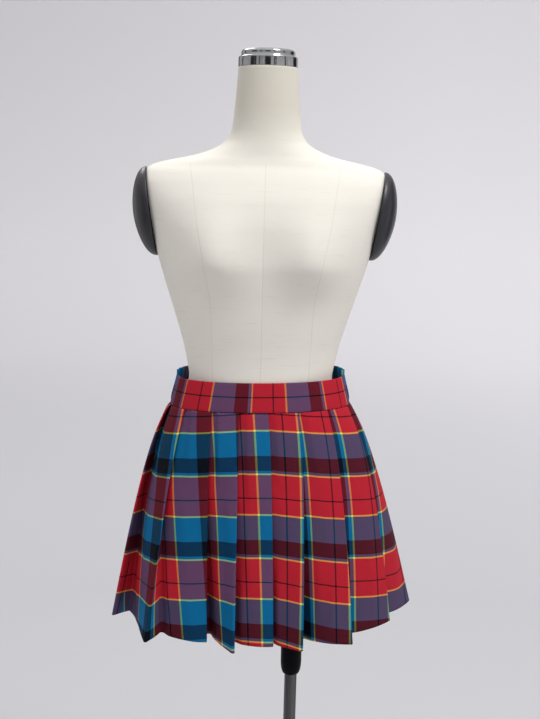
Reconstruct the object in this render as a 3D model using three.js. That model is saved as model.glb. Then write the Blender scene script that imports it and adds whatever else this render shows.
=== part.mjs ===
// A pleated mini skirt with a flat front waistband and a gathered elastic back waistband.
// It hangs on a limbless dress form that stands on a pole and a round base plate.
// Millimetres, +Z up, the front faces -Y and +X is the viewer's right.
// The origin is on the floor, straight below the middle of the waist.
import * as THREE from 'three';

// Driving dimensions
const WAIST_HEIGHT = 1000;
const BAND_HEIGHT = 45;
const CLOTH_LENGTH = 343;
const CLOTH_WALL = 1.0;
const BAND_WALL = 3.4;
const SEAM_GAP = 0.3;
const SEAT_GAP = 0.4;
const HANG_SLOPE = 0.026;
const SIDE_LIFT = 7;

// The skirt's seam line under the band and its hem line, as half width, depths and squareness
const SEAM_LINE = { width: 140.6, front: 95.0, back: 101.0, frontPower: 2.1, backPower: 2.4, shift: 0 };
const HEM_LINE = { width: 217, front: 146, back: 150, frontPower: 2.5, backPower: 2.4, shift: 12 };

// How far the cloth has spread from the seam line to the hem line, by how far down it is
const FLARE = [
  { down: 0.00, spread: 0.00 },
  { down: 0.14, spread: 0.25 },
  { down: 0.27, spread: 0.42 },
  { down: 0.47, spread: 0.62 },
  { down: 0.74, spread: 0.83 },
  { down: 1.00, spread: 1.00 },
];

// One row for each knife pleat, from the left side seam across the front and round the back.
// fold and under give the outer fold's place along the seam line, from the front's middle, and the
// underlay's width there. hemFold and hemTuck are the places of the outer and inner fold along the hem
// line, and out and in are how far they stand off that line. bow is how far the panel swells between
// them, drop is how much lower its tip hangs, and puff is how far the fold bulges below the band.
const PLEATS = [
  { fold: -124, under: 30, hemFold: -166, out: 31, hemTuck: -154, in: 8, bow: -18, drop: 9, puff: 0 },
  { fold: -74.5, under: 26.5, hemFold: -83, out: 13, hemTuck: -84, in: -14, bow: 6, drop: 1, puff: 0 },
  { fold: -31.5, under: 28, hemFold: -40, out: 35, hemTuck: -52, in: 5, bow: 0, drop: 7, puff: 0 },
  { fold: 12.8, under: 28, hemFold: 16, out: 16, hemTuck: -4, in: -3, bow: 8, drop: 3, puff: 0 },
  { fold: 60, under: 28, hemFold: 58, out: 31, hemTuck: 65, in: 2, bow: 0, drop: 6, puff: 0 },
  { fold: 108, under: 26, hemFold: 128, out: 30, hemTuck: 141, in: 3, bow: 3, drop: 4, puff: 0 },
  { fold: 158, under: 27, hemFold: 222, out: 0, hemTuck: 250, in: -14, bow: -1, drop: -1, puff: 2 },
  { fold: 209, under: 28, hemFold: 321, out: 25, hemTuck: 338, in: 3, bow: 2, drop: 0, puff: 2 },
  { fold: 257, under: 26, hemFold: 393, out: 27, hemTuck: 402, in: -2, bow: 3, drop: 0, puff: 3 },
  { fold: 306, under: 26, hemFold: 465, out: 32, hemTuck: 464, in: 3, bow: -2, drop: 4, puff: 0 },
  { fold: 354, under: 26, hemFold: 541, out: 17, hemTuck: 548, in: -9, bow: 5, drop: 0, puff: 2 },
  { fold: 403, under: 26, hemFold: 629, out: 30, hemTuck: 630, in: 2, bow: 2, drop: 4, puff: 0 },
  { fold: 451, under: 26, hemFold: 703, out: 21, hemTuck: 711, in: -5, bow: 5, drop: 1, puff: 1 },
  { fold: 500, under: 26, hemFold: 792, out: 33, hemTuck: 790, in: 3, bow: 0, drop: 5, puff: 0 },
  { fold: 548.5, under: 27, hemFold: 866, out: 18, hemTuck: 875, in: -7, bow: 4, drop: 0, puff: 4 },
  { fold: 597.3, under: 29, hemFold: 942, out: 25, hemTuck: 932, in: 0, bow: 3, drop: 0, puff: 7 },
];
const FRONT_PLEATS = { first: 0, count: 8 };
const BACK_PLEATS = { first: 8, count: 8 };

// Pressed folds: the radius of a fold's middle line at the seam and at the hem
const FOLD_RADIUS_SEAM = 0.85;
const FOLD_RADIUS_HEM = 2.4;
const KICK_POWER = 1.5;
const SECTION_LEVELS = [0, 0.06, 0.16, 0.30, 0.46, 0.64, 0.82, 1];
const FOLD_STEPS = 3;
const UNDERLAY_PARTS = [0.25, 0.5, 0.75];

// A panel rises over the underlay within this margin, and lies pressed until it opens this deep
const RISE_MARGIN = 0.05;
const PRESSED_UNTIL = 7.6;

// How finely an outline is measured
const OUTLINE_STEPS = 1440;
const BEARING_STEP = 0.001;

// The elastic back band: it stands a little higher and is drawn into small gathers
const BACK_BAND_RISE = 8;
const GATHER_COUNT = 26;
const GATHER_DEPTH = 2.6;
const GATHER_STEPS = 4;
const FRONT_BAND_STEPS = 36;
const BAND_TOP_HALF = 132;
const BAND_BOTTOM_HALF = 143.5;

// Sections of the dress form, from its flat bottom to the neck
const FORM_SECTIONS = [
  { z: 695, half: 150, front: 96, back: 108, power: 2.3 },
  { z: 712, half: 158, front: 101, back: 117, power: 2.3 },
  { z: 800, half: 160, front: 106, back: 122, power: 2.25 },
  { z: 870, half: 152, front: 105, back: 118, power: 2.2 },
  { z: 912, half: 140, front: 102, back: 110, power: 2.15 },
  { z: 955, half: 125, front: 94, back: 100, power: 2.1 },
  { z: 980, half: 116, front: 88, back: 95, power: 2.1 },
  { z: 1000, half: 114, front: 85.5, back: 92, power: 2.1 },
  { z: 1018, half: 116.6, front: 86, back: 91, power: 2.1 },
  { z: 1043, half: 122, front: 88, back: 91, power: 2.1 },
  { z: 1076, half: 131, front: 92, back: 93, power: 2.15 },
  { z: 1117, half: 144, front: 97, back: 97, power: 2.2 },
  { z: 1152, half: 155, front: 102, back: 100, power: 2.3 },
  { z: 1181, half: 163.5, front: 105, back: 102, power: 2.4 },
  { z: 1230, half: 178, front: 103, back: 103, power: 2.5 },
  { z: 1270, half: 190, front: 94, back: 99, power: 2.5 },
  { z: 1300, half: 195, front: 80, back: 88, power: 2.4 },
  { z: 1318, half: 190, front: 69, back: 76, power: 2.2 },
  { z: 1329, half: 175, front: 61, back: 68, power: 2.0 },
  { z: 1337, half: 145, front: 58, back: 63, power: 2.0 },
  { z: 1344, half: 112, front: 56, back: 60, power: 2.0 },
  { z: 1356, half: 80, front: 54, back: 57, power: 2.0 },
  { z: 1368, half: 63, front: 52, back: 54, power: 2.0 },
  { z: 1385, half: 54.5, front: 50, back: 51, power: 2.0 },
  { z: 1430, half: 49.5, front: 48, back: 48, power: 2.0 },
  { z: 1480, half: 46, front: 46, back: 46, power: 2.0 },
];
const FORM_RING_POINTS = 40;

// More heights at which the form's skin is cut: over the bust and up the neck
const FORM_MORE_HEIGHTS = [1205, 1250, 1455];
const BUST = { height: 1186, side: 80, depth: 24, widthX: 46, above: 62, below: 44 };

// The flat sides under the shoulder caps lean in towards the waist
const CAP_BOTTOM = { half: 166, z: 1187 };
const CAP_TOP = { half: 186, z: 1325 };
const CAP_DEPTH_RATIO = 0.8;
const CAP_DOME = 30;
const CAP_RIM = 1.5;
const CAP_ROUND = 1.15;
const NECK_CAP = { radius: 46.5, ring: 16, bevel: 1, lidRadius: 42, lid: 12, lidRound: 5, lidCorner: 1.5 };
const SOCKET = { radius: 17, bottom: 504, flatRadius: 11, round: 9, roundSteps: 4 };
const STAND_SIDE = 62;
const POLE_RADIUS = 10;
const PLATE = { radius: 165, thickness: 8, bevel: 2 };

const COLOURS = {
  plaid: 0xa82a38,
  band: 0x8c2c45,
  linen: 0xe4e0d6,
  chrome: 0xc9ccd0,
  cap: 0x2a2a2d,
  socket: 0x08090c,
  pole: 0x5a5a5c,
  plate: 0x4a4a4c,
};

const model = new THREE.Group();

const mix = (a, b, amount) => a + (b - a) * amount;
const clamp = (value, low, high) => Math.min(high, Math.max(low, value));

function smoothStep(low, high, value) {
  const t = clamp((value - low) / (high - low), 0, 1);
  return t * t * (3 - 2 * t);
}

// A smooth curve through one column of a table, without overshoot
function tableValue(table, key, column, at) {
  const last = table.length - 1;
  const x = clamp(at, table[0][key], table[last][key]);
  let i = 0;
  while (i < last - 1 && x > table[i + 1][key]) i += 1;
  const slope = (k) => (table[k + 1][column] - table[k][column]) / (table[k + 1][key] - table[k][key]);
  const tangent = (k) => {
    if (k === 0) return slope(0);
    if (k === last) return slope(last - 1);
    const before = slope(k - 1);
    const after = slope(k);
    return before * after <= 0 ? 0 : (2 * before * after) / (before + after);
  };
  const step = table[i + 1][key] - table[i][key];
  const t = (x - table[i][key]) / step;
  const rise = table[i + 1][column] - table[i][column];
  const start = tangent(i) * step;
  const end = tangent(i + 1) * step;
  const bend = 3 * rise - 2 * start - end;
  return table[i][column] + start * t + bend * t * t + (start + end - 2 * rise) * t ** 3;
}

// A body's closed outline seen from above: bearing 0 is the front and it grows to the viewer's right
function outlinePoint(line, bearing, outward = 0) {
  const s = Math.sin(bearing);
  const c = Math.cos(bearing);
  const depth = c > 0 ? line.front : line.back;
  const power = c > 0 ? line.frontPower : line.backPower;
  const radius = (Math.abs(c / depth) ** power + Math.abs(s / line.width) ** power) ** (-1 / power);
  const nx = (Math.sign(s) * Math.abs((radius * s) / line.width) ** (power - 1)) / line.width;
  const ny = (-Math.sign(c) * Math.abs((radius * c) / depth) ** (power - 1)) / depth;
  const n = Math.hypot(nx, ny);
  return new THREE.Vector2(radius * s + line.shift + (outward * nx) / n, -radius * c + (outward * ny) / n);
}

// An outline's girth, and what turns a length along it, from the front's middle, into a bearing
function measuredOutline(line) {
  const lengths = [0];
  for (let i = 1; i <= OUTLINE_STEPS; i += 1) {
    const a = outlinePoint(line, ((i - 1) / OUTLINE_STEPS) * 2 * Math.PI);
    const b = outlinePoint(line, (i / OUTLINE_STEPS) * 2 * Math.PI);
    lengths.push(lengths[i - 1] + a.distanceTo(b));
  }
  const girth = lengths[OUTLINE_STEPS];
  const bearingAt = (length) => {
    const turns = Math.floor(length / girth);
    const rest = length - turns * girth;
    let i = 0;
    while (i < OUTLINE_STEPS - 1 && lengths[i + 1] < rest) i += 1;
    const part = (rest - lengths[i]) / (lengths[i + 1] - lengths[i]);
    return (turns + (i + part) / OUTLINE_STEPS) * 2 * Math.PI;
  };
  return { girth, bearingAt };
}

function blendLines(top, bottom, amount) {
  const line = {};
  for (const key of Object.keys(top)) line[key] = mix(top[key], bottom[key], amount);
  return line;
}

function addMesh(name, geometry, color, roughness, metalness = 0) {
  geometry.computeVertexNormals();
  const mesh = new THREE.Mesh(geometry, new THREE.MeshStandardMaterial({ color, roughness, metalness }));
  mesh.name = name;
  model.add(mesh);
  return mesh;
}

function indexedGeometry(points, triangles) {
  const geometry = new THREE.BufferGeometry();
  const numbers = points.flatMap((p) => [p.x, p.y, p.z]);
  geometry.setAttribute('position', new THREE.Float32BufferAttribute(numbers, 3));
  geometry.setIndex(triangles);
  return geometry;
}

// Joins closed rings, listed from the bottom up, into a skin
function skinTriangles(ringCount, size) {
  const triangles = [];
  for (let r = 0; r < ringCount - 1; r += 1) {
    for (let i = 0; i < size; i += 1) {
      const a = r * size + i;
      const b = r * size + ((i + 1) % size);
      triangles.push(a, b, b + size, a, b + size, a + size);
    }
  }
  return triangles;
}

// A solid body from rings of points, closed with a flat fan at both ends
function solidFromRings(rings) {
  const size = rings[0].length;
  const points = rings.flat();
  const triangles = skinTriangles(rings.length, size);
  const addFan = (ring, first, upward) => {
    const middle = ring.reduce((sum, p) => sum.add(p), new THREE.Vector3()).divideScalar(size);
    const centre = points.push(middle) - 1;
    for (let i = 0; i < size; i += 1) {
      const a = first + i;
      const b = first + ((i + 1) % size);
      triangles.push(centre, ...(upward ? [a, b] : [b, a]));
    }
  };
  addFan(rings[0], 0, false);
  addFan(rings[rings.length - 1], (rings.length - 1) * size, true);
  return indexedGeometry(points, triangles);
}

// A cloth wall: each row, listed from the bottom up, holds the same number of outer and inner points
function wallFromRows(rows) {
  const count = rows[0].outer.length;
  const size = 2 * count;
  const points = rows.flatMap((row) => [...row.outer, ...[...row.inner].reverse()]);
  const triangles = skinTriangles(rows.length, size);
  const top = (rows.length - 1) * size;
  for (let i = 0; i < count - 1; i += 1) {
    const far = size - 1 - i;
    triangles.push(top + i, top + i + 1, top + far - 1, top + i, top + far - 1, top + far);
    triangles.push(i, far, far - 1, i, far - 1, i + 1);
  }
  return indexedGeometry(points, triangles);
}

// Moves a middle line sideways by half the cloth's thickness, seen from above
function offsetLine(line, distance) {
  return line.map((point, i) => {
    const before = line[Math.max(i - 1, 0)];
    const after = line[Math.min(i + 1, line.length - 1)];
    const arriving = i > 0 ? Math.atan2(point.y - before.y, point.x - before.x) : null;
    const leaving = i < line.length - 1 ? Math.atan2(after.y - point.y, after.x - point.x) : null;
    const start = arriving ?? leaving;
    const turn = Math.atan2(Math.sin((leaving ?? start) - start), Math.cos((leaving ?? start) - start));
    const side = start + turn / 2 - Math.PI / 2;
    const reach = distance / Math.cos(turn / 2);
    return new THREE.Vector3(point.x + reach * Math.cos(side), point.y + reach * Math.sin(side), point.z);
  });
}

// The whole skirt hangs with its right side slightly higher, so every cloth point is sheared upwards
const hang = (point) => new THREE.Vector3(point.x, point.y, point.z + HANG_SLOPE * point.x);

const seam = measuredOutline(SEAM_LINE);
const hem = measuredOutline(HEM_LINE);

// Where a pleat's outer and inner folds are at one level, as bearing, distance out, radius and drop
function pleatFolds(index, down) {
  const turns = Math.floor(index / PLEATS.length);
  const pleat = PLEATS[index - turns * PLEATS.length];
  const spread = tableValue(FLARE, 'down', 'spread', down);
  const kick = down ** KICK_POWER;
  const root = Math.sqrt(down);
  const radius = mix(FOLD_RADIUS_SEAM, FOLD_RADIUS_HEM, down);
  const place = (along, hemAlong) => {
    return mix(seam.bearingAt(along), hem.bearingAt(hemAlong), spread) + turns * 2 * Math.PI;
  };
  return {
    pleat,
    radius,
    outerBearing: place(pleat.fold, pleat.hemFold),
    innerBearing: place(pleat.fold - pleat.under, pleat.hemTuck),
    outerOut: mix(3 * FOLD_RADIUS_SEAM, pleat.out, kick) + 4 * pleat.puff * root * (1 - root),
    innerOut: mix(FOLD_RADIUS_SEAM, pleat.in, kick),
    drop: pleat.drop * kick,
    bow: pleat.bow * kick,
  };
}

// The middle line of the cloth at one level, over some neighbouring pleats
function pleatLine({ first, count }, down) {
  const line = blendLines(SEAM_LINE, HEM_LINE, tableValue(FLARE, 'down', 'spread', down));
  const level = WAIST_HEIGHT - BAND_HEIGHT - SEAM_GAP - down * CLOTH_LENGTH;
  const sideLift = SIDE_LIFT * down ** KICK_POWER;
  const points = [];
  // The cloth flares most at the sides, so its hem ends higher there
  const addPoint = (bearing, outward, drop) => {
    const p = outlinePoint(line, bearing, outward);
    const height = level - drop + sideLift * Math.sin(bearing) ** 2;
    points.push(hang(new THREE.Vector3(p.x, p.y, height)));
  };
  // How far the outline runs for each radian of bearing
  const speed = (bearing, outward) => {
    const before = outlinePoint(line, bearing - BEARING_STEP, outward);
    const after = outlinePoint(line, bearing + BEARING_STEP, outward);
    return before.distanceTo(after) / (2 * BEARING_STEP);
  };
  // The straight underlay from an outer fold back to its inner fold
  const underlay = (folds) => {
    const pace = speed((folds.outerBearing + folds.innerBearing) / 2, folds.outerOut);
    const along = (folds.innerBearing - folds.outerBearing) * pace;
    const across = folds.innerOut - folds.outerOut;
    const lean = Math.asin(clamp((2 * folds.radius) / Math.hypot(along, across), 0, 1));
    const heading = Math.atan2(across, along) - lean;
    const side = folds.radius * Math.cos(heading + Math.PI / 2);
    const rise = folds.radius * Math.sin(heading + Math.PI / 2);
    return {
      heading,
      start: [folds.outerBearing + side / pace, folds.outerOut + rise],
      end: [folds.innerBearing - side / pace, folds.innerOut - rise],
    };
  };
  const addUnderlay = (folds, from, to) => {
    const path = underlay(folds);
    const parts = [from, ...UNDERLAY_PARTS, to].filter((part) => part >= from && part <= to);
    for (const part of new Set(parts.filter((inside) => inside > 0 && inside < 1))) {
      const bearing = mix(path.start[0], path.end[0], part);
      addPoint(bearing, mix(path.start[1], path.end[1], part), folds.drop * (1 - part));
    }
  };
  const addFold = (bearing, outward, radius, from, to, drop) => {
    const pace = speed(bearing, outward);
    for (let i = 0; i <= FOLD_STEPS; i += 1) {
      const angle = mix(from, to, i / FOLD_STEPS);
      addPoint(bearing + (radius * Math.cos(angle)) / pace, outward + radius * Math.sin(angle), drop);
    }
  };
  const quarter = Math.PI / 2;
  const cut = SEAM_GAP / 2 / PLEATS[first].under;
  addUnderlay(pleatFolds(first - 1, down), 0.5 + cut, 1);
  for (let index = first; index < first + count; index += 1) {
    const last = pleatFolds(index - 1, down);
    const next = pleatFolds(index, down);
    const r = next.radius;
    const pace = speed((last.innerBearing + next.outerBearing) / 2, next.innerOut);
    const length = (next.outerBearing - last.innerBearing) * pace;
    const climb = next.outerOut + r - (last.innerOut - r);
    const pressed = 1 - smoothStep(3 * FOLD_RADIUS_SEAM, PRESSED_UNTIL, next.outerOut - next.innerOut);
    const startSlope = Math.atan2(climb * (1 - pressed) + 4 * next.bow, length);
    const endSlope = Math.atan2(climb * (1 - pressed) - 4 * next.bow, length);
    addFold(last.innerBearing, last.innerOut, r, underlay(last).heading - quarter, startSlope - quarter, 0);
    const fromBearing = last.innerBearing + (r * Math.sin(startSlope)) / pace;
    const fromOut = last.innerOut - r * Math.cos(startSlope);
    const toBearing = next.outerBearing - (r * Math.sin(endSlope)) / pace;
    const toOut = next.outerOut + r * Math.cos(endSlope);
    const whole = next.pleat.fold - last.pleat.fold + last.pleat.under;
    const width = whole > 0 ? whole : whole + seam.girth;
    const riseStart = last.pleat.under / width;
    const riseEnd = 1 - next.pleat.under / width;
    const low = riseStart + RISE_MARGIN;
    const high = riseEnd - RISE_MARGIN;
    const parts = [riseStart / 2, low, (low + high) / 2, high, mix(riseEnd, 1, 0.3), mix(riseEnd, 1, 0.65)];
    for (const part of parts) {
      const raised = mix(part, smoothStep(low, high, part), pressed);
      const outward = mix(fromOut, toOut, raised) + 4 * next.bow * part * (1 - part);
      addPoint(mix(fromBearing, toBearing, part), outward, next.drop * part);
    }
    const leaving = underlay(next).heading + quarter;
    addFold(next.outerBearing, next.outerOut, r, endSlope + quarter, leaving, next.drop);
    const isLast = index === first + count - 1;
    addUnderlay(next, 0, isLast ? 0.5 - cut : 1);
  }
  return points;
}

function addSkirtHalf(name, pleats) {
  const rows = [...SECTION_LEVELS].reverse().map((down) => {
    const line = pleatLine(pleats, down);
    return { outer: offsetLine(line, CLOTH_WALL / 2), inner: offsetLine(line, -CLOTH_WALL / 2) };
  });
  addMesh(name, wallFromRows(rows), COLOURS.plaid, 0.85);
}

// The waistband follows the form at the front and back and stands off it at the sides
function bandLine(z) {
  const top = WAIST_HEIGHT;
  const bottom = WAIST_HEIGHT - BAND_HEIGHT;
  const up = Math.min((z - bottom) / (top - bottom), 1);
  const reach = (column) => {
    const low = tableValue(FORM_SECTIONS, 'z', column, bottom);
    const high = tableValue(FORM_SECTIONS, 'z', column, top);
    return mix(low, high, up) + SEAT_GAP;
  };
  return {
    width: mix(BAND_BOTTOM_HALF, BAND_TOP_HALF, up) - BAND_WALL,
    front: reach('front'),
    back: reach('back'),
    frontPower: SEAM_LINE.frontPower,
    backPower: SEAM_LINE.backPower,
    shift: 0,
  };
}

function addBand(name, start, end, steps, heights, gather) {
  const rows = heights.map((z) => {
    const line = bandLine(z);
    const row = { outer: [], inner: [] };
    for (let i = 0; i <= steps; i += 1) {
      const part = i / steps;
      const bearing = mix(start, end, part);
      const wave = gather(part, z);
      const inside = outlinePoint(line, bearing, wave);
      const outside = outlinePoint(line, bearing, wave + BAND_WALL);
      row.inner.push(hang(new THREE.Vector3(inside.x, inside.y, z)));
      row.outer.push(hang(new THREE.Vector3(outside.x, outside.y, z)));
    }
    return row;
  });
  addMesh(name, wallFromRows(rows), COLOURS.band, 0.85);
}

function addWaistbands() {
  const bottom = WAIST_HEIGHT - BAND_HEIGHT;
  const side = Math.PI / 2 - SEAM_GAP / 2 / SEAM_LINE.width;
  const frontHeights = [bottom, WAIST_HEIGHT - BAND_HEIGHT / 2, WAIST_HEIGHT];
  addBand('waistband_front', -side, side, FRONT_BAND_STEPS, frontHeights, () => 0);
  const backTop = WAIST_HEIGHT + BACK_BAND_RISE;
  const start = Math.PI - side;
  const gather = (part, z) => {
    const wave = 0.5 - 0.5 * Math.cos(2 * Math.PI * GATHER_COUNT * part);
    const fade = smoothStep(bottom, bottom + BAND_HEIGHT / 4, z);
    return GATHER_DEPTH * wave * fade;
  };
  const heights = [bottom, bottom + BAND_HEIGHT / 4, WAIST_HEIGHT - BAND_HEIGHT / 3, backTop];
  addBand('waistband_back', start, 2 * Math.PI - start, GATHER_COUNT * GATHER_STEPS, heights, gather);
}

const capSlope = (CAP_TOP.half - CAP_BOTTOM.half) / (CAP_TOP.z - CAP_BOTTOM.z);
const capPlane = (z) => CAP_BOTTOM.half + (z - CAP_BOTTOM.z) * capSlope;

// A point of the dress form's skin, with a gentle bust and flat sides under the shoulder caps
function formPoint(z, bearing) {
  const line = {
    width: tableValue(FORM_SECTIONS, 'z', 'half', z),
    front: tableValue(FORM_SECTIONS, 'z', 'front', z),
    back: tableValue(FORM_SECTIONS, 'z', 'back', z),
    frontPower: tableValue(FORM_SECTIONS, 'z', 'power', z),
    backPower: tableValue(FORM_SECTIONS, 'z', 'power', z),
    shift: 0,
  };
  const p = outlinePoint(line, bearing);
  const height = (z - BUST.height) / (z > BUST.height ? BUST.above : BUST.below);
  const sideways = (Math.abs(p.x) - BUST.side) / BUST.widthX;
  const facing = clamp(-p.y / line.front, 0, 1);
  const swell = BUST.depth * Math.exp(-(height ** 2) - sideways ** 2) * facing;
  return new THREE.Vector3(clamp(p.x, -capPlane(z), capPlane(z)), p.y - swell, z);
}

function addForm() {
  const heights = [...FORM_SECTIONS.map((section) => section.z), ...FORM_MORE_HEIGHTS];
  heights.sort((a, b) => a - b);
  const rings = heights.map((z) => {
    const ring = [];
    for (let i = 0; i < FORM_RING_POINTS; i += 1) {
      ring.push(formPoint(z, (i / FORM_RING_POINTS) * 2 * Math.PI));
    }
    return ring;
  });
  addMesh('form_body', solidFromRings(rings), COLOURS.linen, 0.9);
}

// A turned piece: its profile is listed as radius and height
function turned(profile, segments) {
  const geometry = new THREE.LatheGeometry(profile.map(([r, h]) => new THREE.Vector2(r, h)), segments);
  return geometry.rotateX(Math.PI / 2);
}

function addNeckCap() {
  const start = FORM_SECTIONS[FORM_SECTIONS.length - 1].z + SEAM_GAP;
  const top = start + NECK_CAP.ring;
  const profile = [
    [0, start],
    [NECK_CAP.radius, start],
    [NECK_CAP.radius, top - NECK_CAP.bevel],
    [NECK_CAP.radius - NECK_CAP.bevel, top],
    [NECK_CAP.lidRadius, top],
    [NECK_CAP.lidRadius, top + NECK_CAP.lid - NECK_CAP.lidRound],
    [NECK_CAP.lidRadius - NECK_CAP.lidCorner, top + NECK_CAP.lid - NECK_CAP.lidCorner],
    [NECK_CAP.lidRadius - NECK_CAP.lidRound, top + NECK_CAP.lid],
    [0, top + NECK_CAP.lid],
  ];
  addMesh('neck_cap', turned(profile, 36), COLOURS.chrome, 0.15, 1);
}

function addShoulderCap(name, side) {
  const lean = Math.atan(capSlope);
  const tall = Math.hypot(CAP_TOP.half - CAP_BOTTOM.half, CAP_TOP.z - CAP_BOTTOM.z);
  const radius = tall / 2;
  const profile = [[0, 0], [radius, 0], [radius, CAP_RIM]];
  const steps = 6;
  for (let i = 1; i <= steps; i += 1) {
    const angle = (i / steps) * (Math.PI / 2);
    const across = i === steps ? 0 : radius * Math.cos(angle) ** CAP_ROUND;
    profile.push([across, mix(CAP_RIM, CAP_DOME, Math.sin(angle))]);
  }
  const dome = turned(profile, 32).scale(1, CAP_DEPTH_RATIO, 1).rotateY(Math.PI / 2 + lean);
  const cap = addMesh(name, side > 0 ? dome : dome.rotateZ(Math.PI), COLOURS.cap, 0.35);
  const middleZ = (CAP_TOP.z + CAP_BOTTOM.z) / 2;
  cap.position.set(side * (capPlane(middleZ) + SEAM_GAP), 0, middleZ);
}

function addStand() {
  const formBottom = FORM_SECTIONS[0].z - SEAM_GAP;
  const plateTop = PLATE.thickness;
  const plate = [
    [0, 0],
    [PLATE.radius - PLATE.bevel, 0],
    [PLATE.radius, PLATE.bevel],
    [PLATE.radius, plateTop - PLATE.bevel],
    [PLATE.radius - PLATE.bevel, plateTop],
    [0, plateTop],
  ];
  addMesh('stand_base', turned(plate, 64), COLOURS.plate, 0.4, 0.8).position.setX(STAND_SIDE);
  const poleBottom = plateTop + SEAM_GAP;
  const poleTop = SOCKET.bottom - SEAM_GAP;
  const pole = [[0, poleBottom], [POLE_RADIUS, poleBottom], [POLE_RADIUS, poleTop], [0, poleTop]];
  addMesh('stand_pole', turned(pole, 24), COLOURS.pole, 0.35, 0.9).position.setX(STAND_SIDE);
  const socket = [[0, SOCKET.bottom], [SOCKET.flatRadius, SOCKET.bottom]];
  for (let i = 1; i <= SOCKET.roundSteps; i += 1) {
    const angle = (i / SOCKET.roundSteps) * (Math.PI / 2);
    const r = mix(SOCKET.flatRadius, SOCKET.radius, Math.sin(angle));
    socket.push([r, SOCKET.bottom + SOCKET.round * (1 - Math.cos(angle))]);
  }
  socket.push([SOCKET.radius, formBottom], [0, formBottom]);
  addMesh('stand_socket', turned(socket, 32), COLOURS.socket, 0.3).position.setX(STAND_SIDE);
}

addSkirtHalf('skirt_front', FRONT_PLEATS);
addSkirtHalf('skirt_back', BACK_PLEATS);
addWaistbands();
addForm();
addNeckCap();
addShoulderCap('shoulder_cap_left', -1);
addShoulderCap('shoulder_cap_right', 1);
addStand();

export default model;
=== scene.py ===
# A plaid pleated mini skirt hanging on a limbless linen dress form, on its pole and base.
# Sizes are in millimetres and meshes in metres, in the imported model's frame: the front faces -Y and
# +Z is up.
import math

import bpy
import numpy as np
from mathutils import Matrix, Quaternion, Vector


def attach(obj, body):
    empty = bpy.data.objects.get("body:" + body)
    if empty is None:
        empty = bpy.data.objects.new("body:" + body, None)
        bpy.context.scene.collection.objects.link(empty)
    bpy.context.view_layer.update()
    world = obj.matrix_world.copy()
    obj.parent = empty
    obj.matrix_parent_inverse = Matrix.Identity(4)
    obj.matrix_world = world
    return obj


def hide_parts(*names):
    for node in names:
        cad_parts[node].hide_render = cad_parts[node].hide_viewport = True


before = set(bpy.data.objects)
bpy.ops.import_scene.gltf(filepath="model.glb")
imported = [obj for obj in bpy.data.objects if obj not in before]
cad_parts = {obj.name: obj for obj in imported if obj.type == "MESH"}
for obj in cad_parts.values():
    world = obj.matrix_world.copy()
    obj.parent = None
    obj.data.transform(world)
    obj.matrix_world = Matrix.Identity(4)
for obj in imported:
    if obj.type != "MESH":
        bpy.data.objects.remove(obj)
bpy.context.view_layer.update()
MM = 0.001

# Camera
# The photograph was taken from about shoulder height, two metres in front, looking slightly down,
# with the picture turned a little clockwise.
CAMERA_PLACE = (14.5 * MM, -2000 * MM, 1304 * MM)
CAMERA_PITCH = math.radians(7.94)
CAMERA_ROLL = math.radians(1.5)
CAMERA_LENS = 63.39
CAMERA_SENSOR = 36.0
CAMERA_REACH = 60

camera_data = bpy.data.cameras.new("camera")
camera_data.sensor_width = CAMERA_SENSOR
camera_data.lens = CAMERA_LENS
camera_data.clip_end = CAMERA_REACH
camera = bpy.data.objects.new("camera", camera_data)
bpy.context.collection.objects.link(camera)
camera.location = CAMERA_PLACE
camera.rotation_mode = "QUATERNION"
tilt = Quaternion((1, 0, 0), math.pi / 2 - CAMERA_PITCH)
camera.rotation_quaternion = tilt @ Quaternion((0, 0, 1), CAMERA_ROLL)
bpy.context.scene.camera = camera

# Skirt
# Sixteen knife pleats pressed into one tube of plaid cotton, made as a front and a back half
# that meet inside the side pleats. The pleats are sewn flat under the band and open towards the hem.
WAIST = 1000.0
BAND_HEIGHT = 45.0
CLOTH_LENGTH = 343.0
CLOTH_WALL = 0.8
SEAM_GAP = 0.3
HANG_SLOPE = 0.026
SIDE_LIFT = 7.0
SEAM_LINE = dict(width=140.6, front=95.0, back=101.0, front_power=2.1, back_power=2.4, shift=0.0)
HEM_LINE = dict(width=217.0, front=146.0, back=150.0, front_power=2.5, back_power=2.4, shift=12.0)
FLARE_DOWN = [0.00, 0.14, 0.27, 0.47, 0.74, 1.00]
FLARE_SPREAD = [0.00, 0.25, 0.42, 0.62, 0.83, 1.00]

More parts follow.
